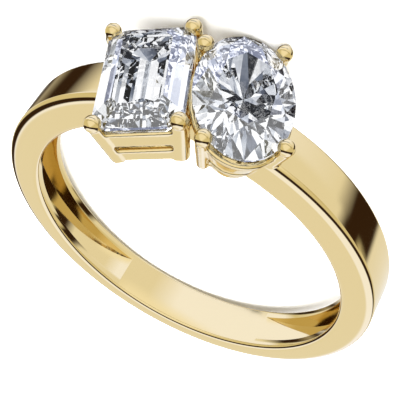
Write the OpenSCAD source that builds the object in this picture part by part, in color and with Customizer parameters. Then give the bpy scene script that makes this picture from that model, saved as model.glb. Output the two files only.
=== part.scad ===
// Toi et moi ring: an emerald-cut stone and an oval-cut stone, set side by side on one gold band.
// Millimetres. The ring is drawn with the finger along Y and the stones up, its finger hole centred
// on the origin, and is then laid on its side as it rests on a table, front face up, stones towards -Y.

/* [Finger hole and band] */
// Inside diameter of the band
finger_d = 17; // [15:0.1:21]
// Width of the band along the finger
band_w = 2.55; // [2.2:0.05:4]
// Thickness of the band under the stones
band_top_t = 2.03; // [1.8:0.01:2.4]
// Thickness of the band opposite the stones
band_foot_t = 1.26; // [1:0.01:1.7]
// Radius that rounds the outer edges of the band
outer_edge_r = 0.3; // [0.1:0.05:0.45]
// Radius that rounds the edges of the finger hole
hole_edge_r = 0.2; // [0.05:0.05:0.35]
// Width of the recess that lightens the inside of the band
recess_w = 1.5; // [0.8:0.1:1.7]
// Thickness of metal between the floor of the recess and the outside of the band
recess_wall_t = 0.47; // [0.4:0.01:0.8]
// Angle from the foot of the band to either end of the recess
recess_end = 30.5; // [25:0.5:60]
// Radius with which the recess runs out at its ends
recess_end_r = 4.5; // [3.5:0.1:5.5]

/* [Emerald-cut stone] */
// Width of the stone across its girdle
emerald_w = 4; // [3:0.1:5]
// Length of the stone
emerald_l = 6; // [5:0.1:8]
// How much of each corner is cropped, along either side
emerald_crop = 0.65; // [0.4:0.05:0.9]
// Distance that the table lies in from the girdle, all round
emerald_table_in = 0.88; // [0.6:0.02:1.2]
// Height of the crown
emerald_crown_h = 0.58; // [0.4:0.02:0.8]
// Depth of the pavilion below the girdle
emerald_pavilion_h = 2; // [1.4:0.05:2.3]
// Angle that the stone is turned, seen from above
emerald_turn = 20.3; // [0:0.1:40]

/* [Oval-cut stone] */
// Width of the stone across its girdle
oval_w = 4.5; // [3.5:0.1:5.5]
// Length of the stone
oval_l = 6.4; // [5:0.1:8]
// Diameter of the table as a share of the girdle's
oval_table_share = 0.57; // [0.5:0.01:0.65]
// Height of the crown
oval_crown_h = 0.66; // [0.5:0.02:0.8]
// Depth of the pavilion below the girdle
oval_pavilion_h = 1.95; // [1.6:0.05:2.2]
// Angle that the stone is turned, seen from above
oval_turn = 25; // [0:0.1:40]

/* [How the stones sit] */
// Height of the emerald-cut girdle above the finger hole
emerald_seat_h = 2.75; // [2.6:0.01:3.2]
// Height of the oval-cut girdle above the finger hole
oval_seat_h = 2.88; // [2.6:0.01:3.2]
// Thickness of either girdle
girdle_t = 0.14; // [0.1:0.01:0.2]
// Gap between the two girdles where they come closest
stone_gap = 0.12; // [0.05:0.01:0.4]
// Distance of each stone's centre from the middle of the band, one to the front and one to the back
pair_offset = 0.386; // [0:0.01:0.8]
// Clearance that the gold keeps from the stones
seat_clear = 0.03; // [0.02:0.01:0.08]

/* [Prongs] */
// Diameter of the round bead that ends a prong
bead_d = 0.78; // [0.6:0.02:0.9]
// Width of the emerald setting's square prongs
square_prong_w = 0.54; // [0.5:0.02:0.7]
// Diameter of the oval setting's round prongs
round_prong_d = 0.64; // [0.5:0.02:0.74]
// How much the corners at both ends of a prong are cropped
prong_end_crop = 0.12; // [0.05:0.01:0.2]
// Height of the emerald setting's prong feet above the finger hole
emerald_foot_h = 0.15; // [0.05:0.01:0.25]
// Height of the oval setting's prong feet above the finger hole
oval_foot_h = 0.33; // [0.05:0.01:0.4]
// Distance of the oval setting's beads in from the middle lines of their prongs, along either axis
oval_bead_in = 0.08; // [0:0.01:0.12]
// Distance of a bead's centre outside the girdle
bead_out = 0.23; // [0.1:0.01:0.3]
// Height of a bead's centre above the girdle
bead_rise = 0.27; // [0.15:0.01:0.35]
// How far the emerald setting's prongs lean in from bead to foot, along either side
emerald_lean_in = 0.5; // [0.3:0.02:0.6]
// How far the oval setting's prongs lean in from bead to foot, along either axis
oval_lean_in = 0.58; // [0.3:0.02:0.6]
// Place of the oval setting's prongs round the stone, from its short axis
oval_prong_angle = 46; // [40:0.5:52]

/* [Gallery rails] */
// Height of the underside of the upper rails above the finger hole
upper_rail_h = 1.45; // [1.3:0.01:1.6]
// Distance of the top of the upper rails below the girdle
upper_rail_drop = 0.5; // [0.4:0.01:0.7]
// Height of the underside of the lower rails above the finger hole
lower_rail_h = 0.27; // [0.2:0.01:0.4]
// Depth of the lower rails, from underside to top
lower_rail_d = 0.72; // [0.5:0.01:0.9]
// Distance of the emerald setting's rails in from the outer faces of its prongs
rail_set_in = 0.04; // [0.02:0.01:0.2]
// Wall thickness of the rails
rail_t = 0.42; // [0.4:0.01:0.6]
// Radius that rounds the upper outer edge of the rails
rail_round = 0.25; // [0.05:0.01:0.3]
// Distance of the oval setting's upper rail in from the girdle, at its underside
oval_upper_in = 0.27; // [0.1:0.01:0.4]
// Distance of the oval setting's lower rail in from the girdle, at its underside
oval_lower_in = 0.7; // [0.6:0.01:0.9]

/* [At rest] */
// Height of the ring's centre of weight above the centre of the finger hole, as worn
balance_up = 1.7; // [0:0.1:5]
// Distance of the centre of weight from the ring's middle, towards the oval-cut stone
balance_side = 0; // [-0.5:0.05:0.5]

/* [Hidden] */

// Smoothness of true round surfaces
$fn = 96;
// A little extra length that carries a cut right through
past = 1;
// A distance well outside the ring
far = 20;
// How far the recess's end arc crosses its floor, so that the two meet at a clear edge
poke = 0.03;
// How far the open middles lie in from the rails' outer faces, a little less than the rails' thickness
well_in = 0.75 * rail_t;
// How far below its bead's centre a prong's post ends
bead_neck = bead_d / 4;
// How much slimmer an oval rail's side lengths are, on every face, than the end lengths they run into
rail_slim = 0.015;
// Angle by which the side lengths run into the end lengths
run_in = 1;
// Radius of a true oval's end arcs, as a multiple of the tightest curve of an ellipse
arc_share = 1.12;

finger_r = finger_d / 2;
bead_r = bead_d / 2;

// The outside of the band is a circle that sits a little higher than the finger hole.
outer_r = (finger_d + band_top_t + band_foot_t) / 2;
outer_up = (band_top_t - band_foot_t) / 2;
recess_r = outer_r - recess_wall_t;

// Centre of the arc that ends the recess: it meets the finger hole at recess_end from the foot
recess_tip = [finger_r * sin(recess_end), -finger_r * cos(recess_end) - outer_up];
arc_out = recess_r - recess_end_r + poke;
tip_turn = acos((pow(norm(recess_tip), 2) + pow(arc_out, 2) - pow(recess_end_r, 2)) / (2 * norm(recess_tip) * arc_out));
tip_angle = atan2(recess_tip.y, recess_tip.x) + tip_turn;
end_arc = [arc_out * cos(tip_angle), arc_out * sin(tip_angle) + outer_up];

// Heights of the bead centres and of the rail tops above the finger hole
emerald_bead_h = emerald_seat_h + bead_rise;
oval_bead_h = oval_seat_h + bead_rise;

// Half sizes of the stones and of the rectangles on which their beads stand
emerald_half = [emerald_w / 2, emerald_l / 2];
oval_half = [oval_w / 2, oval_l / 2];
emerald_bead = [for (half = emerald_half) half - emerald_crop / 2 + bead_out * sin(45)];
oval_grip = [oval_half.x * cos(oval_prong_angle), oval_half.y * sin(oval_prong_angle)];
oval_grip_out = unit([oval_grip.x / pow(oval_half.x, 2), oval_grip.y / pow(oval_half.y, 2)]);
oval_bead = oval_grip + bead_out * oval_grip_out;

// Both ends of a prong's middle line, in either setting
emerald_top = [emerald_bead.x, emerald_bead.y, emerald_bead_h];
emerald_foot = [emerald_bead.x - emerald_lean_in, emerald_bead.y - emerald_lean_in, emerald_foot_h];
oval_top = [oval_bead.x + oval_bead_in, oval_bead.y + oval_bead_in, oval_bead_h];
oval_foot = [oval_top.x - oval_lean_in, oval_top.y - oval_lean_in, oval_foot_h];

// Lean of the rails' outer faces
emerald_taper = atan(emerald_lean_in / (emerald_bead_h - emerald_foot_h));
oval_taper = atan((oval_lower_in - oval_upper_in) / (upper_rail_h - lower_rail_h));

// The stones lean outwards by equal angles, so that their nearest edges stay stone_gap apart.
turn_between = oval_turn - emerald_turn;
oval_reach = norm([oval_half.x * cos(turn_between), oval_half.y * sin(turn_between)]);
apart_square = emerald_half.x + oval_reach + stone_gap;
apart_along_x = (apart_square - 2 * pair_offset * sin(emerald_turn)) / cos(emerald_turn);
girdle_r = finger_r + (emerald_seat_h + oval_seat_h) / 2;
lean_angle = atan(apart_along_x / 2 / girdle_r);

// Shares of an emerald cut's steps: [distance in, height] from the girdle to the table or keel
CROWN_STEPS = [[0, 0], [0.32, 0.43], [0.66, 0.77], [1, 1]];
PAVILION_STEPS = [[0, 0], [0.28, 0.4], [0.6, 0.72]];
keel_share = 0.36;

// Shares of a brilliant cut: how far out the star points and the lower girdle points lie
star_share = 0.79;
lower_share = 0.24;
mains = 8;
half_step = 180 / mains;

function unit(v) = v / norm(v);

// A ring of eight points: a rectangle with cropped corners, at one height
function cropped(half, crop, z) = [
    [half.x, crop - half.y, z],
    [half.x, half.y - crop, z],
    [half.x - crop, half.y, z],
    [crop - half.x, half.y, z],
    [-half.x, half.y - crop, z],
    [-half.x, crop - half.y, z],
    [crop - half.x, -half.y, z],
    [half.x - crop, -half.y, z]
];

// A ring of points round an oval, at one height
function oval_ring(half, z, count) = [
    for (i = [0 : count - 1]) [half.x * cos(360 * i / count), half.y * sin(360 * i / count), z]
];

// The step at distance d in from an emerald cut's girdle, grown by a clearance
function step_ring(d, z, grow) =
    cropped(emerald_half - (d - grow) * [1, 1], emerald_crop * (1 - d / emerald_half.x), z);

// Height of the plane through three points, above x and y
function plane_z(p, q, r, x, y) = let (n = cross(q - p, r - p))
    p.z - (n.x * (x - p.x) + n.y * (y - p.y)) / n.z;

// Place of a prong's middle line at a height, given its place at the foot and at the bead
function prong_at(foot, top, h) = let (share = (h - foot.z) / (top.z - foot.z))
    [foot.x + share * (top.x - foot.x), foot.y + share * (top.y - foot.y)];

// A closed solid through a stack of rings, top ring first, all with the same number of points
module stack(rings) {
    n = len(rings[0]);
    last = len(rings) - 1;
    top = [for (i = [n - 1 : -1 : 0]) i];
    sides = [for (k = [0 : last - 1], i = [0 : n - 1]) let (j = (i + 1) % n)
        [k * n + i, k * n + j, (k + 1) * n + j, (k + 1) * n + i]];
    bottom = [for (i = [0 : n - 1]) last * n + i];
    polyhedron(points = [for (ring = rings) each ring], faces = concat([top], sides, [bottom]));
}

// Lays out children on a setting, z = 0 being the wall of the finger hole below the stone
module on_seat(side, turn) {
    rotate([0, side * lean_angle, 0]) translate([0, side * pair_offset, finger_r]) {
        rotate([0, 0, turn]) children();
    }
}

module on_emerald_seat() {
    on_seat(-1, emerald_turn) children();
}

module on_oval_seat() {
    on_seat(1, oval_turn) children();
}

// Band

// Half section of a disc with a rounded rim
module rim_section(r, w, edge) {
    translate([0, -w / 2]) square([r - edge, w]);
    translate([0, edge - w / 2]) square([r, w - 2 * edge]);
    for (side = [-1, 1]) {
        translate([r - edge, side * (w / 2 - edge)]) circle(edge);
    }
}

// Half section of a hole whose edges are rounded over
module hole_section(r, w, edge) {
    translate([0, -w / 2 - past]) square([r, w + 2 * past]);
    for (side = [0, 1]) {
        mirror([0, side]) difference() {
            translate([r - edge, w / 2 - edge]) square([2 * edge, edge + past]);
            translate([r + edge, w / 2 - edge]) circle(edge);
        }
    }
}

module finger_hole() {
    rotate([90, 0, 0]) rotate_extrude() hole_section(finger_r, band_w, hole_edge_r);
}

// Side view of the recess: it follows the outside of the band and runs out in an arc at both ends
module recess_section() {
    intersection() {
        translate([0, outer_up]) circle(recess_r);
        union() {
            for (side = [-1, 1]) {
                translate([side * end_arc.x, end_arc.y]) circle(recess_end_r);
            }
            polygon([
                [0, 0],
                far * [end_arc.x, end_arc.y] / norm(end_arc),
                [far, far],
                [-far, far],
                far * [-end_arc.x, end_arc.y] / norm(end_arc)
            ]);
        }
    }
}

module band() {
    color("#e6c97e") difference() {
        translate([0, 0, outer_up]) rotate([90, 0, 0]) {
            rotate_extrude() rim_section(outer_r, band_w, outer_edge_r);
        }
        finger_hole();
        rotate([90, 0, 0]) linear_extrude(recess_w, center = true) recess_section();
        on_emerald_seat() emerald_well();
        on_oval_seat() oval_well();
    }
}

// Settings

// Side view of a prong's post: a strip with cropped corners
module post_side(w, h) {
    out = w / 2;
    in = out - prong_end_crop;
    polygon([
        [-in, 0], [in, 0], [out, prong_end_crop], [out, h - prong_end_crop],
        [in, h], [-in, h], [-out, h - prong_end_crop], [-out, prong_end_crop]
    ]);
}

module square_post(h) {
    intersection() {
        rotate([90, 0, 0]) linear_extrude(square_prong_w, center = true) post_side(square_prong_w, h);
        rotate([90, 0, 90]) linear_extrude(square_prong_w, center = true) post_side(square_prong_w, h);
    }
}

module round_post(h) {
    rotate_extrude() intersection() {
        post_side(round_prong_d, h);
        square([round_prong_d, h]);
    }
}

// Lays out a post along each prong's leaning middle line, and a bead at its upper end
module four_prongs(foot, top, bead_in) {
    run = top - foot;
    heading = atan2(run.y, run.x);
    for (x = [0, 1], y = [0, 1]) {
        mirror([x, 0, 0]) mirror([0, y, 0]) {
            translate(foot) rotate([0, acos(run.z / norm(run)), heading]) rotate([0, 0, -heading]) children();
            translate(top - [bead_in, bead_in, 0]) sphere(d = bead_d);
        }
    }
}

// Length of a post that ends a little below its bead's centre
function post_length(foot, top) = norm(top - foot) - bead_neck;

// Section of a rail: its lower outer corner on the origin, its outer face leaning out with the prongs
module rail_section(high, taper, slim = 0) {
    h = high / cos(taper);
    rotate(-taper) {
        translate([slim - rail_t, slim]) square([rail_t - 2 * slim, h - rail_round - slim]);
        translate([slim - rail_t, slim]) square([rail_t - rail_round - slim, h - 2 * slim]);
        translate([-rail_round, h - rail_round]) circle(rail_round - slim);
    }
}

// Half sizes of the emerald setting at a height, to its rails' outer faces
function emerald_face(h) = let (out = square_prong_w / 2 - rail_set_in)
    prong_at(emerald_foot, emerald_top, h) + [out, out];

// Four straight bars from prong to prong
module emerald_rail(low, high) {
    face = emerald_face(low);
    bar = 2 * prong_at(emerald_foot, emerald_top, (low + high) / 2);
    for (side = [0, 1]) {
        mirror([side, 0, 0]) translate([face.x, 0, low]) rotate([90, 0, 0]) {
            linear_extrude(bar.y, center = true) rail_section(high - low, emerald_taper);
        }
        mirror([0, side, 0]) translate([0, face.y, low]) rotate([90, 0, 90]) {
            linear_extrude(bar.x, center = true) rail_section(high - low, emerald_taper);
        }
    }
}

// The open middle of the emerald setting, down through the band
module emerald_well() {
    stack([for (h = [emerald_bead_h, -past]) let (half = emerald_face(h) - [well_in, well_in])
        [[half.x, -half.y, h], [half.x, half.y, h], [-half.x, half.y, h], [-half.x, -half.y, h]]]);
}

module emerald_setting() {
    color("#e6c97e") {
        four_prongs(emerald_foot, emerald_top, 0) square_post(post_length(emerald_foot, emerald_top));
        emerald_rail(lower_rail_h, lower_rail_h + lower_rail_d);
        emerald_rail(upper_rail_h, emerald_seat_h - upper_rail_drop);
    }
}

// A true oval of four arcs: radius of its end arcs, and of its side arcs
function end_arc_r(half) = arc_share * half.x * half.x / half.y;
function side_arc_r(half) = let (r = end_arc_r(half), drop = half.y - r)
    (half.x * half.x + drop * drop - r * r) / (2 * (half.x - r));

// A rail swept round a true oval of given outer half sizes at its foot
module oval_rail(low, high, half) {
    end_r = end_arc_r(half);
    side_r = side_arc_r(half);
    join = atan2(half.y - end_r, side_r - half.x);
    for (side = [0, 1]) {
        mirror([0, side, 0]) translate([0, half.y - end_r, low]) rotate([0, 0, join]) {
            rotate_extrude(angle = 180 - 2 * join) translate([end_r, 0]) rail_section(high - low, oval_taper);
        }
        mirror([side, 0, 0]) translate([half.x - side_r, 0, low]) rotate([0, 0, -join - run_in]) {
            rotate_extrude(angle = 2 * (join + run_in)) translate([side_r, 0]) {
                rail_section(high - low, oval_taper, rail_slim);
            }
        }
    }
}

// Half sizes of the oval setting's opening at a height
function oval_well_half(h) = let (
    d = oval_lower_in + well_in - tan(oval_taper) * (h - lower_rail_h)
) oval_half - d * [1, 1];

// The open middle of the oval setting, down through the band
module oval_well() {
    half = oval_well_half(-past);
    h = oval_bead_h + past;
    spread = oval_well_half(oval_bead_h).x - half.x;
    end_r = end_arc_r(half);
    side_r = side_arc_r(half);
    drop = half.y - end_r;
    join_y = drop * side_r / (side_r - end_r);
    translate([0, 0, -past]) {
        for (end = [-1, 1]) {
            translate([0, end * drop, 0]) cylinder(r1 = end_r, r2 = end_r + spread, h = h);
        }
        intersection() {
            translate([half.x - side_r, 0, 0]) cylinder(r1 = side_r, r2 = side_r + spread, h = h);
            translate([side_r - half.x, 0, 0]) cylinder(r1 = side_r, r2 = side_r + spread, h = h);
            translate([-half.x - spread, -join_y, 0]) cube([2 * (half.x + spread), 2 * join_y, h]);
        }
    }
}

module oval_setting() {
    color("#e6c97e") {
        four_prongs(oval_foot, oval_top, oval_bead_in) round_post(post_length(oval_foot, oval_top));
        oval_rail(lower_rail_h, lower_rail_h + lower_rail_d, oval_half - oval_lower_in * [1, 1]);
        oval_rail(upper_rail_h, oval_seat_h - upper_rail_drop, oval_half - oval_upper_in * [1, 1]);
    }
}

// Stones

// An emerald cut with its girdle at z = 0: three steps above it, three below and a keel line
module emerald_cut(grow) {
    crown = [for (i = [len(CROWN_STEPS) - 1 : -1 : 0]) let (s = CROWN_STEPS[i])
        step_ring(emerald_table_in * s[0], girdle_t / 2 + emerald_crown_h * s[1] + grow, grow)];
    pavilion = [for (s = PAVILION_STEPS)
        step_ring(emerald_half.x * s[0], -girdle_t / 2 - emerald_pavilion_h * s[1] - grow, grow)];
    keel_y = emerald_l * keel_share / 2;
    keel_z = -girdle_t / 2 - emerald_pavilion_h - grow;
    rings = concat(crown, pavilion);
    n = len(rings[0]);
    base = (len(rings) - 1) * n;
    front = len(rings) * n;
    back = front + 1;
    top = [for (i = [n - 1 : -1 : 0]) i];
    sides = [for (k = [0 : len(rings) - 2], i = [0 : n - 1]) let (j = (i + 1) % n)
        [k * n + i, k * n + j, (k + 1) * n + j, (k + 1) * n + i]];
    keel = [
        [base, base + 1, back, front],
        [base + 1, base + 2, back],
        [base + 2, base + 3, back],
        [base + 3, base + 4, back],
        [base + 4, base + 5, front, back],
        [base + 5, base + 6, front],
        [base + 6, base + 7, front],
        [base + 7, base, front]
    ];
    polyhedron(
        points = concat([for (ring = rings) each ring], [[0, -keel_y, keel_z], [0, keel_y, keel_z]]),
        faces = concat([top], sides, keel)
    );
}

// A point of the oval stone: share of the way out, angle and height
function at(share, angle, z) = [oval_half.x * share * cos(angle), oval_half.y * share * sin(angle), z];

// Heights of a brilliant cut's main planes above and below the girdle, at a share of the way out
function crown_z(share) = girdle_t / 2 + oval_crown_h * (1 - share) / (1 - oval_table_share);
function pavilion_z(share) = -girdle_t / 2 - oval_pavilion_h * (1 - share);

// An oval brilliant cut with its girdle at z = 0
module oval_cut() {
    turns = [for (k = [0 : mains - 1]) 2 * half_step * k];
    table = [for (a = turns) at(oval_table_share, a, crown_z(oval_table_share))];
    stars = [for (a = turns) at(star_share, a + half_step, crown_z(star_share * cos(half_step)))];
    lowers = [for (a = turns) at(lower_share, a + half_step, pavilion_z(lower_share * cos(half_step)))];
    upper_rim = [for (k = [0 : mains - 1]) each rim_points(turns[k], stars[k], girdle_t / 2)];
    lower_rim = [for (k = [0 : mains - 1]) each rim_points(turns[k], lowers[k], -girdle_t / 2)];
    culet = [at(0, 0, pavilion_z(0))];
    m = mains;
    rim = 4 * m;
    star_0 = m;
    upper_0 = 2 * m;
    lower_0 = upper_0 + rim;
    low_0 = lower_0 + rim;
    culet_0 = low_0 + m;
    faces = concat(
        [[for (k = [m - 1 : -1 : 0]) k]],
        [for (k = [0 : m - 1]) [k, (k + 1) % m, star_0 + k]],
        [for (k = [0 : m - 1]) [k, star_0 + k, upper_0 + 4 * k, star_0 + (k + m - 1) % m]],
        [for (k = [0 : m - 1]) let (g = upper_0 + 4 * k, s = star_0 + k) [s, g + 2, g + 1, g]],
        [for (k = [0 : m - 1]) let (g = upper_0 + 4 * k, e = upper_0 + (4 * k + 4) % rim, s = star_0 + k)
            [s, e, g + 3, g + 2]],
        [for (i = [0 : rim - 1]) let (j = (i + 1) % rim) [upper_0 + i, upper_0 + j, lower_0 + j, lower_0 + i]],
        [for (k = [0 : m - 1]) let (g = lower_0 + 4 * k, s = low_0 + k) [s, g, g + 1, g + 2]],
        [for (k = [0 : m - 1]) let (g = lower_0 + 4 * k, e = lower_0 + (4 * k + 4) % rim, s = low_0 + k)
            [s, g + 2, g + 3, e]],
        [for (k = [0 : m - 1]) [culet_0, low_0 + (k + m - 1) % m, lower_0 + 4 * k, low_0 + k]]
    );
    polyhedron(points = concat(table, stars, upper_rim, lower_rim, lowers, culet), faces = faces);
}

// Four points of the girdle's edge from a main's angle on: a facet's flat dips where the rim bulges
function rim_points(a, tip, z) = let (
    start = at(1, a, z),
    middle = at(1, a + half_step, z),
    end = at(1, a + 2 * half_step, z),
    quarter = at(1, a + half_step / 2, z),
    three_quarter = at(1, a + half_step * 3 / 2, z)
) [
    start,
    [quarter.x, quarter.y, plane_z(tip, start, middle, quarter.x, quarter.y)],
    middle,
    [three_quarter.x, three_quarter.y, plane_z(tip, middle, end, three_quarter.x, three_quarter.y)]
];

// The room that the oval stone takes up, with its clearance
module oval_room() {
    rim = 4 * mains;
    profile = [
        [oval_table_share, crown_z(oval_table_share) + seat_clear],
        [star_share, crown_z(star_share * cos(half_step)) + seat_clear],
        [1, girdle_t / 2 + seat_clear],
        [1, -girdle_t / 2 - seat_clear],
        [lower_share, pavilion_z(lower_share * cos(half_step)) - seat_clear]
    ];
    stack([for (p = profile) oval_ring(oval_half * p[0] + seat_clear * [1, 1], p[1], rim)]);
}

module place_emerald() {
    on_emerald_seat() translate([0, 0, emerald_seat_h]) children();
}

module place_oval() {
    on_oval_seat() translate([0, 0, oval_seat_h]) children();
}

// At rest

// Lying on its back, the ring touches down at the oval stone's outer back bead and at one point of the
// band's back edge, with its centre of weight above the line between them.
bead_turned = [
    oval_bead.x * cos(oval_turn) - oval_bead.y * sin(oval_turn),
    oval_bead.x * sin(oval_turn) + oval_bead.y * cos(oval_turn) + pair_offset
];
bead_out_r = finger_r + oval_bead_h;
rest_bead = [
    bead_turned.x * cos(lean_angle) + bead_out_r * sin(lean_angle),
    bead_turned.y,
    bead_out_r * cos(lean_angle) - bead_turned.x * sin(lean_angle)
];
edge_circle_r = outer_r - outer_edge_r;
balance = [balance_side, balance_up];
toward_bead = unit([rest_bead.x, rest_bead.z] - balance);
from_middle = balance - [0, outer_up];
across = from_middle * toward_bead;
reach = across + sqrt(across * across - from_middle * from_middle + edge_circle_r * edge_circle_r);
touch = balance - reach * toward_bead;
slope_dir = ([0, outer_up] - touch) / edge_circle_r;
rise_run = [rest_bead.y - band_w / 2 + outer_edge_r, ([rest_bead.x, rest_bead.z] - touch) * slope_dir];
tilt = acos((outer_edge_r - bead_r) / norm(rise_run)) - atan2(rise_run[1], rise_run[0]);
heading = atan2(slope_dir[0], slope_dir[1]);

module at_rest() {
    rotate([0, 0, 180 - heading]) rotate([tilt - 90, 0, 0]) rotate([0, -heading, 0]) children();
}

// Pieces

module gold_mounting() {
    at_rest() color("#e6c97e") difference() {
        union() {
            band();
            on_emerald_seat() emerald_setting();
            on_oval_seat() oval_setting();
        }
        place_emerald() emerald_cut(seat_clear);
        place_oval() oval_room();
    }
}

module emerald_cut_stone() {
    at_rest() color("#e9eef2") place_emerald() emerald_cut(0);
}

module oval_cut_stone() {
    at_rest() color("#e9eef2") place_oval() oval_cut();
}

gold_mounting();
emerald_cut_stone();
oval_cut_stone();
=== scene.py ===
import math

import bmesh
import bpy
from mathutils import Matrix, Vector


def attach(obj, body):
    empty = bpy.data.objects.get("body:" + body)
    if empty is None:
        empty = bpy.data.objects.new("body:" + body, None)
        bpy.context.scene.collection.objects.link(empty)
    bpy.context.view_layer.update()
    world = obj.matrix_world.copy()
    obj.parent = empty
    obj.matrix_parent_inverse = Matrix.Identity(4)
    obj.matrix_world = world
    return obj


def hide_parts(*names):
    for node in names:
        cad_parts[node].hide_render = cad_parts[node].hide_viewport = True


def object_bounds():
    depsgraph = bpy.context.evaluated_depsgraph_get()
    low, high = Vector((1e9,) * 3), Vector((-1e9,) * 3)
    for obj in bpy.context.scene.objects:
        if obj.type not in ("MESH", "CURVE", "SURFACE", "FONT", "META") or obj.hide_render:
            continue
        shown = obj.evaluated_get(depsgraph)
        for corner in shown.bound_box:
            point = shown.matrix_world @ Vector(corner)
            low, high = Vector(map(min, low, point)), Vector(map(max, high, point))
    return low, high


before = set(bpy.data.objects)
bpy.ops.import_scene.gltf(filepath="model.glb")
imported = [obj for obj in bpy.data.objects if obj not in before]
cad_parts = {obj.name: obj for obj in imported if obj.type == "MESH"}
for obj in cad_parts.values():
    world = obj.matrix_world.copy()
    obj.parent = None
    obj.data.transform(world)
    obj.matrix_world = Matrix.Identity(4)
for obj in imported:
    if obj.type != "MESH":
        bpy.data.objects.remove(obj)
cad_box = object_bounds()

MM = 0.001

# Band, in millimetres
FINGER_R = 8.5
BAND_W = 2.55
BAND_TOP_T = 2.03
BAND_FOOT_T = 1.26
OUTER_EDGE_R = 0.3
HOLE_EDGE_R = 0.2
EDGE_STRETCH = 1.7
OUTER_R = FINGER_R + (BAND_TOP_T + BAND_FOOT_T) / 2
OUTER_UP = (BAND_TOP_T - BAND_FOOT_T) / 2

# Recess inside the band
RECESS_W = 1.5
RECESS_WALL_T = 0.47
RECESS_END = 30.5
RECESS_END_R = 4.5
RECESS_FILLET = 0.14
RECESS_MOUTH = 0.07
RECESS_MOUTH_ANGLE = 25
RECESS_LIP = 0.6
RECESS_R = OUTER_R - RECESS_WALL_T
RECESS_STEPS = 300
RECESS_END_STEPS = 40
RECESS_END_SWEEP = 75

# Bridge between the settings
WAIST_L = 1.6
BRIDGE_W = 1.6

# Stones
EMERALD_HALF = Vector((2.0, 3.0))
EMERALD_CROP = 0.65
OVAL_HALF = Vector((2.25, 3.2))
OVAL_PRONG_ANGLE = 46
STONE_CLEAR = 0.045

# Settings
EMERALD_TURN = 20.3
OVAL_TURN = 25
LEAN = 10.9591
PAIR_OFFSET = 0.386
EMERALD_SEAT_H = 2.75
OVAL_SEAT_H = 2.88

# Prongs and beads
BEAD_R = 0.39
BEAD_OUT = 0.23
BEAD_RISE = 0.27
BEAD_DROP = 0.08
SQUARE_PRONG_W = 0.54
SQUARE_PRONG_FLANK = 0.17
SQUARE_PRONG_BEND = 0.26
ROUND_PRONG_R = 0.32
PRONG_EDGE = 0.06
ROUND_PRONG_EDGE = 0.14
EMERALD_FOOT_H = 0.15
OVAL_FOOT_H = 0.33
EMERALD_LEAN_IN = 0.5
OVAL_LEAN_IN = 0.58
OVAL_BEAD_IN = 0.08
EMERALD_BEAD = EMERALD_HALF - Vector((1, 1)) * (EMERALD_CROP / 2 - BEAD_OUT * math.sqrt(0.5))

# Gallery rails
UPPER_RAIL_H = 1.38
UPPER_RAIL_DROP = 0.43
LOWER_RAIL_H = 0.27
LOWER_RAIL_D = 0.78
RAIL_T = 0.54
RAIL_ROUND = 0.2
RAIL_SET_IN = 0.04
OVAL_UPPER_IN = 0.27
OVAL_LOWER_IN = 0.7
WELL_IN = 0.315
WELL_CORNER_R = 0.12
WELL_FOOT_H = -1

# How the ring lies: turned about the finger hole's axis, then tipped over onto its side
REST_HEADING = 19.3717
REST_TILT = 6.62606

# Fineness of the solder fillets, how often they are smoothed, and what smoothing takes off a bead
VOXEL = 0.05
SMOOTHINGS = 16
BEAD_LOSS = 0.012
# How far the settings' buried roots keep inside the band's faces
ROOT_IN = 0.012
# Degrees round the band: its top, from there to each root's start past the bridge, and the roots' ends
BAND_TOP = 90
ROOT_FROM = 5.5
EMERALD_ROOT_END = 118
OVAL_ROOT_END = 61

# Fineness of the round shapes
BAND_STEPS = 360
ROOT_STEPS = 60
BAND_EDGE_STEPS = 14
ROUND_STEPS = 48
WELL_STEPS = 128
OVAL_RAIL_STEPS = 160
# How near points are that count as one, as on the band's face and as on a rail's outer face
MERGE = 0.0005
NEAR = 0.01
RIM_NEAR = 0.02
RIM_SHARE = 0.97
# Edges that turn more than this stay sharp
SHARP_ANGLE = 35


def turn(degrees, axis):
    return Matrix.Rotation(math.radians(degrees), 4, axis)


REST = turn(180 - REST_HEADING, "Z") @ turn(REST_TILT - 90, "X") @ turn(-REST_HEADING, "Y")
REST_IN_METRES = Matrix.Scale(MM, 4) @ REST


def seat(side, stone_turn):
    """Place of a setting: its z = 0 is the finger hole's wall under the stone."""
    up = Matrix.Translation((0, side * PAIR_OFFSET, FINGER_R))
    return turn(side * LEAN, "Y") @ up @ turn(stone_turn, "Z")


EMERALD_SEAT = seat(-1, EMERALD_TURN)
OVAL_SEAT = seat(1, OVAL_TURN)


# Modelling helpers


def new_object(name, bm):
    mesh = bpy.data.meshes.new(name)
    bm.to_mesh(mesh)
    bm.free()
    piece = bpy.data.objects.new(name, mesh)
    bpy.context.scene.collection.objects.link(piece)
    return piece


def drop(*pieces):
    for piece in pieces:
        bpy.data.objects.remove(piece)


def with_modifier(piece, kind, **settings):
    """Applies one modifier to a piece and keeps the result."""
    modifier = piece.modifiers.new(kind, kind)
    for name, value in settings.items():
        setattr(modifier, name, value)
    bpy.context.view_layer.update()
    graph = bpy.context.evaluated_depsgraph_get()
    mesh = bpy.data.meshes.new_from_object(piece.evaluated_get(graph))
    piece.modifiers.clear()
    piece.data = mesh
    return piece


def cut(piece, *cutters):
    for cutter in cutters:
        with_modifier(piece, "BOOLEAN", operation="DIFFERENCE", solver="MANIFOLD", object=cutter)
    return piece


def fillet_edges(bm, edges, radius, segments):
    bmesh.ops.bevel(
        bm, geom=edges, offset=radius, offset_type="OFFSET", affect="EDGES",
        segments=segments, profile=0.5, material=-1, clamp_overlap=True,
    )


def close_up(bm):
    """Merges doubles and points every face outwards."""
    bmesh.ops.remove_doubles(bm, verts=bm.verts, dist=MERGE)
    bmesh.ops.recalc_face_normals(bm, faces=bm.faces)


def shade(piece):
    for face in piece.data.polygons:
        face.use_smooth = True
    piece.data.set_sharp_from_angle(angle=math.radians(SHARP_ANGLE))


# Band


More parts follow.
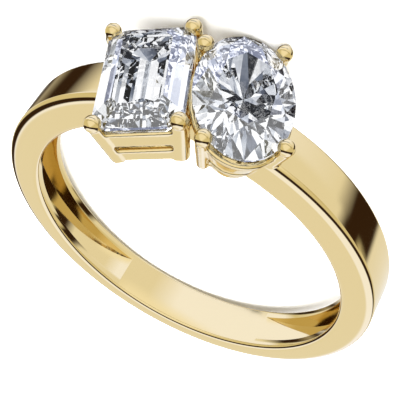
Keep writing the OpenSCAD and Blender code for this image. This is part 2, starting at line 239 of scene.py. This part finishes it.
def band_ring(inset, steps, start, sweep):
    """The band, or a stretch of it: a rectangle with rounded corners spun about the finger's line."""
    bm = bmesh.new()
    half_w = BAND_W / 2 - inset
    low, high = FINGER_R + inset, OUTER_R - inset
    corners = [(low, -half_w), (high, -half_w), (high, half_w), (low, half_w)]
    # the edges are rounded in a squeezed section, which then draws them out along the flat sides
    verts = [bm.verts.new((r / EDGE_STRETCH, y, 0)) for r, y in corners]
    bm.faces.new(verts)
    for pair, radius in ((verts[1:3], OUTER_EDGE_R), ((verts[0], verts[3]), HOLE_EDGE_R)):
        bmesh.ops.bevel(
            bm, geom=list(pair), offset=radius - inset / 2, offset_type="OFFSET", affect="VERTICES",
            segments=BAND_EDGE_STEPS, profile=0.5, material=-1,
        )
    bmesh.ops.scale(bm, vec=(EDGE_STRETCH, 1, 1), verts=bm.verts)
    bmesh.ops.rotate(bm, verts=bm.verts, cent=(0, 0, 0), matrix=turn(-start, "Y"))
    whole = sweep == 360
    if whole:
        bmesh.ops.delete(bm, geom=list(bm.faces), context="FACES_ONLY")
        geom = list(bm.edges)
    else:
        geom = list(bm.faces) + list(bm.edges)
    bmesh.ops.spin(
        bm, geom=geom, cent=(0, 0, 0), axis=(0, 1, 0), angle=-math.radians(sweep),
        steps=steps, use_merge=whole, use_duplicate=False,
    )
    middle = (low + high) / 2
    outer = [v for v in bm.verts if math.hypot(v.co.x, v.co.z) > middle]
    bmesh.ops.translate(bm, verts=outer, vec=(0, 0, OUTER_UP))
    close_up(bm)
    return bm


def recess_cutter():
    """The recess follows the band's outside and runs out in an arc at both ends."""
    end = math.radians(RECESS_END)
    tip = Vector((FINGER_R * math.sin(end), -FINGER_R * math.cos(end) - OUTER_UP))
    arc_out = RECESS_R - RECESS_END_R
    share = (tip.length_squared + arc_out**2 - RECESS_END_R**2) / (2 * tip.length * arc_out)
    out_angle = math.atan2(tip.y, tip.x) + math.acos(share)
    centre = Vector((arc_out * math.cos(out_angle), 0, arc_out * math.sin(out_angle) + OUTER_UP))
    floor_centre = Vector((0, 0, OUTER_UP))
    bm = bmesh.new()
    away = (centre - floor_centre).normalized()
    start = bm.verts.new(centre + away * RECESS_END_R)
    made = bmesh.ops.spin(
        bm, geom=[start], cent=floor_centre, axis=(0, 1, 0), angle=2 * out_angle - math.pi,
        steps=RECESS_STEPS,
    )
    last = made["geom_last"][0]
    mirrored = Vector((-centre.x, 0, centre.z))
    sweep = math.radians(RECESS_END_SWEEP)
    for point, middle, angle in ((last, mirrored, -sweep), (start, centre, sweep)):
        bmesh.ops.spin(
            bm, geom=[point], cent=middle, axis=(0, 1, 0), angle=angle, steps=RECESS_END_STEPS,
        )
    bmesh.ops.remove_doubles(bm, verts=bm.verts, dist=MERGE)
    bm.edges.new([v for v in bm.verts if len(v.link_edges) == 1])
    bmesh.ops.contextual_create(bm, geom=list(bm.edges))
    bmesh.ops.translate(bm, verts=bm.verts, vec=(0, -RECESS_W / 2, 0))
    made = bmesh.ops.extrude_face_region(bm, geom=list(bm.faces))
    far = [v for v in made["geom"] if isinstance(v, bmesh.types.BMVert)]
    bmesh.ops.translate(bm, verts=far, vec=(0, RECESS_W, 0))
    close_up(bm)
    walls = [
        e for e in bm.edges
        if abs(e.verts[0].co.y - e.verts[1].co.y) < 1e-6
        and min(math.hypot(v.co.x, v.co.z) for v in e.verts) > FINGER_R - RECESS_LIP
    ]
    fillet_edges(bm, walls, RECESS_FILLET, 5)
    close_up(bm)
    return new_object("recess_cutter", bm)


# Wells: the open middles of the settings, down through the band


def emerald_face(height):
    """Half sizes of the emerald setting at a height, to the outer faces of its rails."""
    share = (height - EMERALD_FOOT_H) / (EMERALD_SEAT_H + BEAD_RISE - EMERALD_FOOT_H)
    out = SQUARE_PRONG_W / 2 - RAIL_SET_IN - EMERALD_LEAN_IN * (1 - share)
    return EMERALD_BEAD + Vector((out, out))


def oval_bead_place():
    angle = math.radians(OVAL_PRONG_ANGLE)
    grip = Vector((OVAL_HALF.x * math.cos(angle), OVAL_HALF.y * math.sin(angle)))
    out = Vector((grip.x / OVAL_HALF.x**2, grip.y / OVAL_HALF.y**2)).normalized()
    return grip + out * BEAD_OUT


OVAL_BEAD = oval_bead_place()
OVAL_SLOPE = (OVAL_LOWER_IN - OVAL_UPPER_IN) / (UPPER_RAIL_H - LOWER_RAIL_H)


def oval_face(height, rail_h, inward):
    """Half sizes of an oval rail's outer face at a height."""
    d = inward - OVAL_SLOPE * (height - rail_h)
    return OVAL_HALF - Vector((d, d))


def upper_oval_face(height):
    return oval_face(height, UPPER_RAIL_H, OVAL_UPPER_IN)


def lower_oval_face(height):
    return oval_face(height, LOWER_RAIL_H, OVAL_LOWER_IN)


def draw_well(bm, seat_h, face_at, grow):
    """Draws a unit shape from below the band's wall up to the stone's seat, inside the rails."""
    for v in bm.verts:
        height = seat_h if v.co.z > 0 else WELL_FOOT_H
        half = face_at(height) - Vector((1, 1)) * (WELL_IN - grow)
        v.co = (v.co.x * half.x, v.co.y * half.y, height)


def square_well(grow):
    bm = bmesh.new()
    bmesh.ops.create_cube(bm, size=2)
    draw_well(bm, EMERALD_SEAT_H, emerald_face, grow)
    upright = [e for e in bm.edges if abs(e.verts[0].co.z - e.verts[1].co.z) > 1]
    fillet_edges(bm, upright, WELL_CORNER_R, 4)
    bmesh.ops.transform(bm, matrix=EMERALD_SEAT, verts=bm.verts)
    close_up(bm)
    return new_object("square_well", bm)


def oval_well(grow):
    bm = bmesh.new()
    bmesh.ops.create_cone(bm, cap_ends=True, segments=WELL_STEPS, radius1=1, radius2=1, depth=2)
    draw_well(bm, OVAL_SEAT_H, lower_oval_face, grow)
    bmesh.ops.transform(bm, matrix=OVAL_SEAT, verts=bm.verts)
    close_up(bm)
    return new_object("oval_well", bm)


def waist_cutter(side):
    """Between the two settings the band narrows to a bridge."""
    bm = bmesh.new()
    bmesh.ops.create_cube(bm, size=1)
    depth = BAND_W / 2
    bmesh.ops.scale(bm, vec=(WAIST_L, depth, 3 * BAND_TOP_T), verts=bm.verts)
    bmesh.ops.translate(bm, vec=(0, side * (BRIDGE_W / 2 + depth / 2), OUTER_R), verts=bm.verts)
    return new_object("waist_cutter", bm)


def round_mouth(band):
    """Rounds the edge where the recess opens into the finger hole."""
    bm = bmesh.new()
    bm.from_mesh(band.data)
    mouth = [
        e for e in bm.edges
        if len(e.link_faces) == 2 and e.calc_face_angle() > math.radians(RECESS_MOUTH_ANGLE)
        and all(abs(math.hypot(v.co.x, v.co.z) - FINGER_R) < NEAR for v in e.verts)
        and all(abs(v.co.y) < RECESS_W / 2 + NEAR and v.co.z < OUTER_R / 2 for v in e.verts)
    ]
    fillet_edges(bm, mouth, RECESS_MOUTH, 3)
    bm.to_mesh(band.data)
    bm.free()


def make_band():
    band = new_object("band", band_ring(0, BAND_STEPS, 0, 360))
    cutters = [waist_cutter(-1), waist_cutter(1), recess_cutter(), square_well(0), oval_well(0)]
    cut(band, *cutters)
    drop(*cutters)
    round_mouth(band)
    return band


# Settings


def join_meshes(name, makers):
    """One mesh from several closed shapes that run into each other."""
    whole = bmesh.new()
    for bm in makers:
        mesh = bpy.data.meshes.new("part")
        bm.to_mesh(mesh)
        bm.free()
        whole.from_mesh(mesh)
        bpy.data.meshes.remove(mesh)
    return new_object(name, whole)


def corners():
    return [(x, y) for x in (-1, 1) for y in (-1, 1)]


def level_edges(bm):
    return [e for e in bm.edges if abs(e.verts[0].co.z - e.verts[1].co.z) < 1e-6]


def stand_up(bm, foot, run, length, x, y):
    """Stands a post on its foot, leans it out along its run and puts it into its quarter."""
    bmesh.ops.translate(bm, vec=(0, 0, length / 2), verts=bm.verts)
    lean = Matrix.Rotation(run.angle(Vector((0, 0, 1))), 4, Vector((-1, 1, 0)))
    bmesh.ops.transform(bm, matrix=Matrix.Translation(foot) @ lean, verts=bm.verts)
    mirror_into(bm, x, y)
    return bm


def square_prong(x, y):
    """A square post that leans out towards its bead."""
    top = Vector((EMERALD_BEAD.x, EMERALD_BEAD.y, EMERALD_SEAT_H + BEAD_RISE))
    foot = Vector((top.x - EMERALD_LEAN_IN, top.y - EMERALD_LEAN_IN, EMERALD_FOOT_H))
    run = top - foot
    length = run.length - BEAD_R / 2
    width = SQUARE_PRONG_W + SQUARE_PRONG_FLANK
    bm = bmesh.new()
    bmesh.ops.create_cube(bm, size=1)
    bmesh.ops.scale(bm, vec=(width, SQUARE_PRONG_W, length), verts=bm.verts)
    bmesh.ops.translate(bm, vec=(SQUARE_PRONG_FLANK / 2, 0, 0), verts=bm.verts)
    outer = [e for e in bm.edges if all(v.co.x > 0 and v.co.y > 0 for v in e.verts)]
    bmesh.ops.bevel(
        bm, geom=outer, offset=SQUARE_PRONG_BEND, offset_type="OFFSET", affect="EDGES",
        segments=4, profile=0.35, material=-1, clamp_overlap=True,
    )
    fillet_edges(bm, level_edges(bm), PRONG_EDGE, 3)
    return stand_up(bm, foot, run, length, x, y)


def round_prong(x, y):
    """A round post that leans out under its bead."""
    top = Vector((OVAL_BEAD.x + OVAL_BEAD_IN, OVAL_BEAD.y + OVAL_BEAD_IN, OVAL_SEAT_H + BEAD_RISE))
    foot = Vector((top.x - OVAL_LEAN_IN, top.y - OVAL_LEAN_IN, OVAL_FOOT_H))
    run = top - foot
    length = run.length - BEAD_R / 2
    bm = bmesh.new()
    bmesh.ops.create_cone(
        bm, cap_ends=True, segments=ROUND_STEPS, radius1=ROUND_PRONG_R, radius2=ROUND_PRONG_R,
        depth=length,
    )
    fillet_edges(bm, level_edges(bm), ROUND_PRONG_EDGE, 5)
    return stand_up(bm, foot, run, length, x, y)


def mirror_into(bm, x, y):
    """Puts a shape made in the first quarter into another quarter."""
    if x < 0:
        bmesh.ops.scale(bm, vec=(-1, 1, 1), verts=bm.verts)
    if y < 0:
        bmesh.ops.scale(bm, vec=(1, -1, 1), verts=bm.verts)
    bmesh.ops.recalc_face_normals(bm, faces=bm.faces)


def bead(x, y, place, height):
    bm = bmesh.new()
    bmesh.ops.create_uvsphere(
        bm, u_segments=ROUND_STEPS, v_segments=ROUND_STEPS // 2, radius=BEAD_R + BEAD_LOSS,
    )
    bmesh.ops.translate(bm, vec=(x * place.x, y * place.y, height - BEAD_DROP), verts=bm.verts)
    return bm


def rail_wall(low, high, face_at, ring):
    """A hollow rail between two heights; ring gives the outline's corners for given half sizes."""
    bm = bmesh.new()
    half = face_at(low)
    loop = [bm.verts.new((p.x, p.y, low)) for p in ring(half)]
    edges = [bm.edges.new((loop[i - 1], loop[i])) for i in range(len(loop))]
    # the loop is drawn up the outside, over the top, down the inside and back to where it started
    for height, thick in ((high, 0), (high, RAIL_T), (low, RAIL_T), (low, 0)):
        made = bmesh.ops.extrude_edge_only(bm, edges=edges)["geom"]
        fresh = {v for v in made if isinstance(v, bmesh.types.BMVert)}
        edges = [e for e in made if isinstance(e, bmesh.types.BMEdge) and fresh.issuperset(e.verts)]
        last, half = half, face_at(height) - Vector((thick, thick))
        for v in fresh:
            v.co = (v.co.x * half.x / last.x, v.co.y * half.y / last.y, height)
    close_up(bm)
    rim = [
        e for e in bm.edges
        if all(abs(v.co.z - high) < 1e-4 for v in e.verts)
        and all(is_outer(v, face_at(high)) for v in e.verts)
    ]
    fillet_edges(bm, rim, RAIL_ROUND, 5)
    return bm


def is_outer(v, half):
    """Whether a point lies on the outer face of a square rail or of an oval one."""
    on_side = abs(v.co.x) > half.x - RIM_NEAR or abs(v.co.y) > half.y - RIM_NEAR
    return on_side or (v.co.x / half.x) ** 2 + (v.co.y / half.y) ** 2 > RIM_SHARE


def box_ring(half):
    return [Vector((x * half.x, y * half.y)) for x, y in ((1, -1), (1, 1), (-1, 1), (-1, -1))]


def oval_ring(half):
    angles = [2 * math.pi * i / OVAL_RAIL_STEPS for i in range(OVAL_RAIL_STEPS)]
    return [Vector((half.x * math.cos(a), half.y * math.sin(a))) for a in angles]


def root(well, start, end):
    """The part of the band that the setting is soldered to, kept just inside the band's own faces."""
    piece = new_object("root", band_ring(ROOT_IN, ROOT_STEPS, start, end - start))
    cut(piece, well)
    out = bmesh.new()
    out.from_mesh(piece.data)
    drop(piece, well)
    return out


def stone_room(node):
    """The stone's own shape, grown by its clearance, in the ring's millimetres."""
    bm = bmesh.new()
    bm.from_mesh(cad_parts[node].data)
    bmesh.ops.transform(bm, matrix=REST_IN_METRES.inverted(), verts=bm.verts)
    close_up(bm)
    middle = sum((v.co for v in bm.verts), Vector()) / len(bm.verts)
    bmesh.ops.translate(bm, vec=-middle, verts=bm.verts)
    grow = 1 + STONE_CLEAR / EMERALD_HALF.x
    bmesh.ops.scale(bm, vec=(grow, grow, grow), verts=bm.verts)
    bmesh.ops.translate(bm, vec=middle, verts=bm.verts)
    return new_object("stone_room", bm)


def solder(name, shapes, place, buried):
    """Fuses a setting's shapes and its root into one body whose joints are softly filled."""
    for bm in shapes:
        bmesh.ops.transform(bm, matrix=place, verts=bm.verts)
    body = join_meshes(name, shapes + [buried])
    with_modifier(body, "REMESH", mode="VOXEL", voxel_size=VOXEL, adaptivity=0)
    with_modifier(body, "SMOOTH", factor=0.5, iterations=SMOOTHINGS)
    rooms = [stone_room(stone) for stone in ("emerald_cut_stone", "oval_cut_stone")]
    cut(body, *rooms)
    drop(*rooms)
    return body


def make_emerald_setting():
    top = EMERALD_SEAT_H - UPPER_RAIL_DROP
    shapes = [square_prong(x, y) for x, y in corners()]
    shapes += [bead(x, y, EMERALD_BEAD, EMERALD_SEAT_H + BEAD_RISE) for x, y in corners()]
    shapes.append(rail_wall(LOWER_RAIL_H, LOWER_RAIL_H + LOWER_RAIL_D, emerald_face, box_ring))
    shapes.append(rail_wall(UPPER_RAIL_H, top, emerald_face, box_ring))
    buried = root(square_well(ROOT_IN), BAND_TOP + ROOT_FROM, EMERALD_ROOT_END)
    return solder("emerald_setting", shapes, EMERALD_SEAT, buried)


def make_oval_setting():
    top = OVAL_SEAT_H - UPPER_RAIL_DROP
    shapes = [round_prong(x, y) for x, y in corners()]
    shapes += [bead(x, y, OVAL_BEAD, OVAL_SEAT_H + BEAD_RISE) for x, y in corners()]
    shapes.append(rail_wall(LOWER_RAIL_H, LOWER_RAIL_H + LOWER_RAIL_D, lower_oval_face, oval_ring))
    shapes.append(rail_wall(UPPER_RAIL_H, top, upper_oval_face, oval_ring))
    buried = root(oval_well(ROOT_IN), OVAL_ROOT_END, BAND_TOP - ROOT_FROM)
    return solder("oval_setting", shapes, OVAL_SEAT, buried)


# Materials


def linear(hex_colour):
    """A colour that is given as sRGB hex, as the linear values that a shader reads."""
    parts = [int(hex_colour[i:i + 2], 16) / 255 for i in (1, 3, 5)]
    return [p / 12.92 if p <= 0.04045 else ((p + 0.055) / 1.055) ** 2.4 for p in parts] + [1]


def socket(sockets, identifier):
    """A socket by its identifier, since a Mix or Math node has several of one name."""
    return next(s for s in sockets if s.identifier == identifier)


def set_stops(elements, stops):
    """Gives a colour ramp its stops, each a place from 0 to 1 and a tone."""
    while len(elements) < len(stops):
        elements.new(0.5)
    for element, (position, tone) in zip(elements, stops):
        element.position = position
        element.color = (*tone, 1)


def add_node(tree, kind, settings=(), **sources):
    """Adds a node: settings go to its attributes, inputs or stops, sources are linked or set."""
    node = tree.nodes.new(kind)
    for name, value in dict(settings).items():
        if name == "stops":
            set_stops(node.color_ramp.elements, value)
        elif name in node.inputs:
            node.inputs[name].default_value = value
        else:
            setattr(node, name, value)
    for identifier, source in sources.items():
        end = socket(node.inputs, identifier)
        if isinstance(source, bpy.types.NodeSocket):
            tree.links.new(source, end)
        else:
            end.default_value = source
    return node


def new_material(name):
    material = bpy.data.materials.new(name)
    material.use_nodes = True
    material.node_tree.nodes.clear()
    return material, material.node_tree


def polished_gold():
    """Cast 14 karat yellow gold, polished on a wheel: a warm mirror, a breath of haze and hairlines."""
    material, tree = new_material("polished_yellow_gold")
    place = add_node(tree, "ShaderNodeTexCoord").outputs["Object"]
    haze = add_node(tree, "ShaderNodeTexNoise", {"Scale": 1 / (1.6 * MM), "Detail": 3}, Vector=place)
    rough = add_node(
        tree, "ShaderNodeMapRange",
        {"From Min": 0.3, "From Max": 0.7, "To Min": 0.045, "To Max": 0.085},
        Value=haze.outputs["Fac"],
    )
    lines = add_node(tree, "ShaderNodeTexNoise", {"Scale": 1 / (0.35 * MM), "Detail": 2}, Vector=place)
    relief = add_node(
        tree, "ShaderNodeBump", {"Strength": 0.02, "Distance": 0.02 * MM}, Height=lines.outputs["Fac"],
    )
    shader = add_node(
        tree, "ShaderNodeBsdfPrincipled", {"Base Color": linear("#E3CE98"), "Metallic": 1.0},
        Roughness=rough.outputs["Result"], Normal=relief.outputs["Normal"],
    )
    add_node(tree, "ShaderNodeOutputMaterial", Surface=shader.outputs["BSDF"])
    return material


def cut_diamond():
    """Colourless diamond, cut and polished on a lap: clear, bright and sharply faceted."""
    material, tree = new_material("cut_diamond")
    place = add_node(tree, "ShaderNodeTexCoord").outputs["Object"]
    cloud = add_node(tree, "ShaderNodeTexNoise", {"Scale": 1 / (1.2 * MM), "Detail": 2}, Vector=place)
    rough = add_node(
        tree, "ShaderNodeMapRange", {"From Min": 0.3, "From Max": 0.7, "To Min": 0.0, "To Max": 0.012},
        Value=cloud.outputs["Fac"],
    )
    shader = add_node(
        tree, "ShaderNodeBsdfPrincipled",
        {"Base Color": linear("#FCFDFF"), "Transmission Weight": 1.0, "IOR": 2.417},
        Roughness=rough.outputs["Result"],
    )
    add_node(tree, "ShaderNodeOutputMaterial", Surface=shader.outputs["BSDF"])
    return material


def studio_floor():
    """Matt white paper sweep."""
    material, tree = new_material("white_paper")
    place = add_node(tree, "ShaderNodeTexCoord").outputs["Object"]
    fibre = add_node(tree, "ShaderNodeTexNoise", {"Scale": 1 / (2 * MM)}, Vector=place)
    rough = add_node(
        tree, "ShaderNodeMapRange", {"To Min": 0.75, "To Max": 0.85}, Value=fibre.outputs["Fac"],
    )
    shader = add_node(
        tree, "ShaderNodeBsdfPrincipled", {"Base Color": linear("#F7F7F6"), "Specular IOR Level": 0.2},
        Roughness=rough.outputs["Result"],
    )
    add_node(tree, "ShaderNodeOutputMaterial", Surface=shader.outputs["BSDF"])
    return material


GOLD = polished_gold()
DIAMOND = cut_diamond()

# Gold pieces

for make in (make_band, make_emerald_setting, make_oval_setting):
    piece = make()
    piece.data.transform(REST_IN_METRES)
    piece.data.materials.clear()
    piece.data.materials.append(GOLD)
    shade(piece)
    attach(piece, "root")
    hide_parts("gold_mounting")
    # the stones are lit as if lifted out of their settings, so no gold shows through them
    piece.visible_transmission = False

# Stones keep their cut

for name in ("emerald_cut_stone", "oval_cut_stone"):
    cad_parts[name].data.materials.clear()
    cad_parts[name].data.materials.append(DIAMOND)

# Floor

FLOOR_HALF = 0.6
bm = bmesh.new()
bmesh.ops.create_grid(bm, x_segments=1, y_segments=1, size=FLOOR_HALF)
bmesh.ops.translate(bm, verts=bm.verts, vec=(0, 0, cad_box[0].z))
floor = new_object("floor", bm)
floor.data.materials.append(studio_floor())
floor.visible_glossy = False
floor.visible_transmission = False

# Camera: where the photograph was taken from, worked out in the ring's own frame

PHOTO_PX = 400
CAMERA_AZIMUTH = 25.123
CAMERA_ELEVATION = 55.4545
CAMERA_ROLL = 0.9818
CAMERA_FAR = 52.657
CAMERA_FOCAL_PX = 1021.43
CAMERA_ASIDE = Vector((0.3533, 1.4812))
CAMERA_SENSOR_W = 36
CAMERA_CLIP = (0.001, 10)


def place_camera():
    az, el, roll = (math.radians(a) for a in (CAMERA_AZIMUTH, CAMERA_ELEVATION, CAMERA_ROLL))
    level = Vector((math.cos(az), math.sin(az), 0))
    back = Vector((math.sin(az) * math.cos(el), -math.cos(az) * math.cos(el), math.sin(el)))
    steep = back.cross(level)
    right = level * math.cos(roll) + steep * math.sin(roll)
    up = steep * math.cos(roll) - level * math.sin(roll)
    spot = right * CAMERA_ASIDE.x + up * CAMERA_ASIDE.y + back * CAMERA_FAR
    camera = bpy.data.objects.new("camera", bpy.data.cameras.new("camera"))
    camera.data.sensor_width = CAMERA_SENSOR_W
    camera.data.lens = CAMERA_FOCAL_PX / PHOTO_PX * CAMERA_SENSOR_W
    camera.data.clip_start, camera.data.clip_end = CAMERA_CLIP
    bpy.context.scene.collection.objects.link(camera)
    axes = Matrix((right, up, back)).transposed().to_4x4()
    stand = REST @ Matrix.Translation(spot) @ axes
    stand.translation = stand.translation * MM
    camera.matrix_world = stand
    bpy.context.scene.camera = camera


place_camera()

# Light: a white studio with dark flags on its walls, a round softbox behind the ring and a soft lamp

BLACK = (0, 0, 0)
WHITE = (1, 1, 1)
BRIGHT_WHITE = (1.15, 1.15, 1.15)
COOL_WHITE = (1.2, 1.3, 1.8)
CREAM = (0.85, 0.8, 0.6)
DIM = (0.4, 0.35, 0.25)
FLAG = (0.04, 0.02, 0.01)
SHADE = (0.12, 0.12, 0.12)

# Walls: degrees round from the front, which is -Y, towards +X, and the tone there
# below LOW_WALLS_END
LOW_WALLS = [
    (-180, WHITE), (-120, WHITE), (-115, FLAG), (-90, FLAG), (-75, WHITE), (0, COOL_WHITE),
    (45, COOL_WHITE), (75, WHITE), (95, FLAG), (110, FLAG), (125, DIM), (135, FLAG), (150, WHITE),
    (180, WHITE),
]
# between that and MID_WALLS_END
MID_WALLS = [
    (-180, WHITE), (-105, CREAM), (-100, FLAG), (-88, FLAG), (-80, WHITE), (-20, WHITE),
    (0, COOL_WHITE), (80, COOL_WHITE), (90, CREAM), (110, WHITE), (180, WHITE),
]
# above that
HIGH_WALLS = [
    (-180, WHITE), (-150, WHITE), (-110, CREAM), (-60, CREAM), (-35, BRIGHT_WHITE), (35, BRIGHT_WHITE),
    (60, CREAM), (110, CREAM), (150, WHITE), (180, WHITE),
]
# degrees above the horizon where one stretch of wall gives way to the next
LOW_WALLS_END = [(-31, BLACK), (-28.5, WHITE)]
MID_WALLS_END = [(-17, BLACK), (-13, WHITE)]
# a dark flag that the stones' tables mirror: round from the front, and by height
TABLE_FLAG_ROUND = [(-180, BLACK), (-24, BLACK), (-17, WHITE), (56, WHITE), (64, BLACK), (180, BLACK)]
TABLE_FLAG_LEVELS = [
    (-90, BLACK), (-37, BLACK), (-35.5, WHITE), (-29.9, WHITE), (-29.2, BLACK), (90, BLACK),
]
# how far the shading by height below applies, round from the front
AHEAD = [(-180, BLACK), (-80, BLACK), (-60, WHITE), (50, WHITE), (75, BLACK), (180, BLACK)]
# degrees above the horizon and the front wall's shade there
FRONT_LEVELS = [(-90, WHITE), (-4, WHITE), (-1, DIM), (3, DIM), (6, WHITE), (90, WHITE)]
# a big round softbox behind the ring with a dark rim: degrees out from its middle, and the tone there
SOFTBOX_AXIS = (-0.054, 0.87, 0.491)
SOFTBOX = [(180, FLAG), (43, FLAG), (39, COOL_WHITE), (0, COOL_WHITE)]
SOFTBOX_REACH = [(180, BLACK), (67, BLACK), (63, WHITE), (0, WHITE)]
# it ends at these degrees above the horizon
SOFTBOX_FOOT = [(-12, BLACK), (-4, WHITE)]
# and a plain white patch low in it, which the flat sides of the gold mirror
PATCH_AXIS = (0.197, 0.928, 0.317)
PATCH_REACH = [(180, BLACK), (24, BLACK), (17, WHITE), (0, WHITE)]
# light and dark cards round the stones: a level of their noise, from 0 to 1, and the tone there
CARD_SCALE = 3.4
CARD_DETAIL = 0.5
CARDS = [
    (0.0, (0.002, 0.003, 0.006)), (0.45, (0.006, 0.008, 0.014)), (0.46, (0.1, 0.12, 0.17)),
    (0.49, (0.3, 0.34, 0.42)), (0.5, (0.66, 0.7, 0.76)), (0.55, (0.85, 0.87, 0.92)),
    (0.56, (1.3, 1.3, 1.3)), (1.0, (1.5, 1.5, 1.5)),
]
# one lamp overhead, in metres and watts
LAMP_SIZE = 0.6
LAMP_WATTS = 6.5
LAMP_PLACE = (-0.05, 0.04, 0.3)
LAMP_TARGET = (0, 0, 0)


# A direction's measures, and where an angle lies on each from 0 to 1
ROUND = "round from the front"
LEVEL = "above the horizon"
TO_SOFTBOX = "out from the softbox's middle"
TO_PATCH = "out from the patch's middle"


def by_turn(angle):
    return (angle + 180) / 360


def by_elevation(angle):
    return (math.sin(math.radians(angle)) + 1) / 2


def by_angle(angle):
    return (math.cos(math.radians(angle)) + 1) / 2


STUDIO_TONES = {
    "low": (ROUND, by_turn, LOW_WALLS),
    "middle": (ROUND, by_turn, MID_WALLS),
    "high": (ROUND, by_turn, HIGH_WALLS),
    "above low": (LEVEL, by_elevation, LOW_WALLS_END),
    "above middle": (LEVEL, by_elevation, MID_WALLS_END),
    "flag round": (ROUND, by_turn, TABLE_FLAG_ROUND),
    "flag level": (LEVEL, by_elevation, TABLE_FLAG_LEVELS),
    "ahead": (ROUND, by_turn, AHEAD),
    "front": (LEVEL, by_elevation, FRONT_LEVELS),
    "softbox": (TO_SOFTBOX, by_angle, SOFTBOX),
    "reach": (TO_SOFTBOX, by_angle, SOFTBOX_REACH),
    "patch": (TO_PATCH, by_angle, PATCH_REACH),
    "raised": (LEVEL, by_elevation, SOFTBOX_FOOT),
}
# Each mix's name, how it blends, its share and its two tones, by name or as a value
STUDIO_MIXES = [
    ("lower walls", "MIX", "above low", "low", "middle"),
    ("walls", "MIX", "above middle", "lower walls", "high"),
    ("flag", "MULTIPLY", 1, "flag round", "flag level"),
    ("flagged", "MIX", "flag", "walls", (*SHADE, 1)),
    ("shaded", "MIX", "ahead", (*WHITE, 1), "front"),
    ("room", "MULTIPLY", 1, "flagged", "shaded"),
    ("patched", "MIX", "patch", "softbox", (*WHITE, 1)),
    ("box", "MULTIPLY", 1, "reach", "raised"),
    ("dome", "MIX", "box", "room", "patched"),
    ("seen", "MIX", "from a stone", "dome", "cards"),
]


def studio():
    world = bpy.data.worlds.new("studio")
    bpy.context.scene.world = world
    world.use_nodes = True
    tree = world.node_tree
    tree.nodes.clear()
    way = add_node(tree, "ShaderNodeTexCoord").outputs["Generated"]
    parts = add_node(tree, "ShaderNodeSeparateXYZ", Vector=way).outputs
    front = add_node(tree, "ShaderNodeMath", {"operation": "MULTIPLY"}, Value=parts["Y"], Value_001=-1)
    azimuth = add_node(
        tree, "ShaderNodeMath", {"operation": "ARCTAN2"},
        Value=parts["X"], Value_001=front.outputs["Value"],
    )
    # the cosine of the angle between a direction and an axis
    to_softbox, to_patch = (
        add_node(
            tree, "ShaderNodeVectorMath", {"operation": "DOT_PRODUCT"},
            Vector=way, Vector_001=Vector(axis).normalized(),
        )
        for axis in (SOFTBOX_AXIS, PATCH_AXIS)
    )
    measures = {}
    for name, end, value in (
        (ROUND, math.pi, azimuth.outputs["Value"]),
        (LEVEL, 1, parts["Z"]),
        (TO_SOFTBOX, 1, to_softbox.outputs["Value"]),
        (TO_PATCH, 1, to_patch.outputs["Value"]),
    ):
        share = add_node(tree, "ShaderNodeMapRange", {"From Min": -end, "From Max": end}, Value=value)
        measures[name] = share.outputs["Result"]
    # cards and flags that only the stones play with
    cards = add_node(
        tree, "ShaderNodeTexNoise", {"Scale": CARD_SCALE, "Detail": CARD_DETAIL}, Vector=way,
    )
    sparkle = add_node(tree, "ShaderNodeValToRGB", {"stops": CARDS}, Fac=cards.outputs["Fac"])
    path = add_node(tree, "ShaderNodeLightPath")
    tones = {"cards": sparkle.outputs["Color"], "from a stone": path.outputs["Is Transmission Ray"]}
    for name, (measure, place_of, stops) in STUDIO_TONES.items():
        placed = [(place_of(angle), tone) for angle, tone in stops]
        tone = add_node(tree, "ShaderNodeValToRGB", {"stops": placed}, Fac=measures[measure])
        tones[name] = tone.outputs["Color"]
    for name, blend, share, first, second in STUDIO_MIXES:
        mix = add_node(
            tree, "ShaderNodeMix", {"data_type": "RGBA", "blend_type": blend},
            Factor_Float=tones.get(share, share),
            A_Color=tones.get(first, first),
            B_Color=tones.get(second, second),
        )
        tones[name] = socket(mix.outputs, "Result_Color")
    glow = add_node(tree, "ShaderNodeBackground", Color=tones["seen"])
    add_node(tree, "ShaderNodeOutputWorld", Surface=glow.outputs["Background"])


def soft_lamp(name, size, energy, place, target):
    lamp = bpy.data.lights.new(name, "AREA")
    lamp.shape = "DISK"
    lamp.size = size
    lamp.energy = energy
    stand = bpy.data.objects.new(name, lamp)
    stand.visible_glossy = False
    stand.visible_transmission = False
    stand.location = place
    stand.rotation_euler = (Vector(target) - Vector(place)).to_track_quat("-Z", "Y").to_euler()
    bpy.context.scene.collection.objects.link(stand)


studio()
soft_lamp("overhead_lamp", LAMP_SIZE, LAMP_WATTS, LAMP_PLACE, LAMP_TARGET)

scene = bpy.context.scene
scene.view_settings.view_transform = "Standard"
# Light passes many facets of a stone before it leaves
scene.cycles.max_bounces = 32
scene.cycles.transmission_bounces = 24
scene.cycles.glossy_bounces = 12
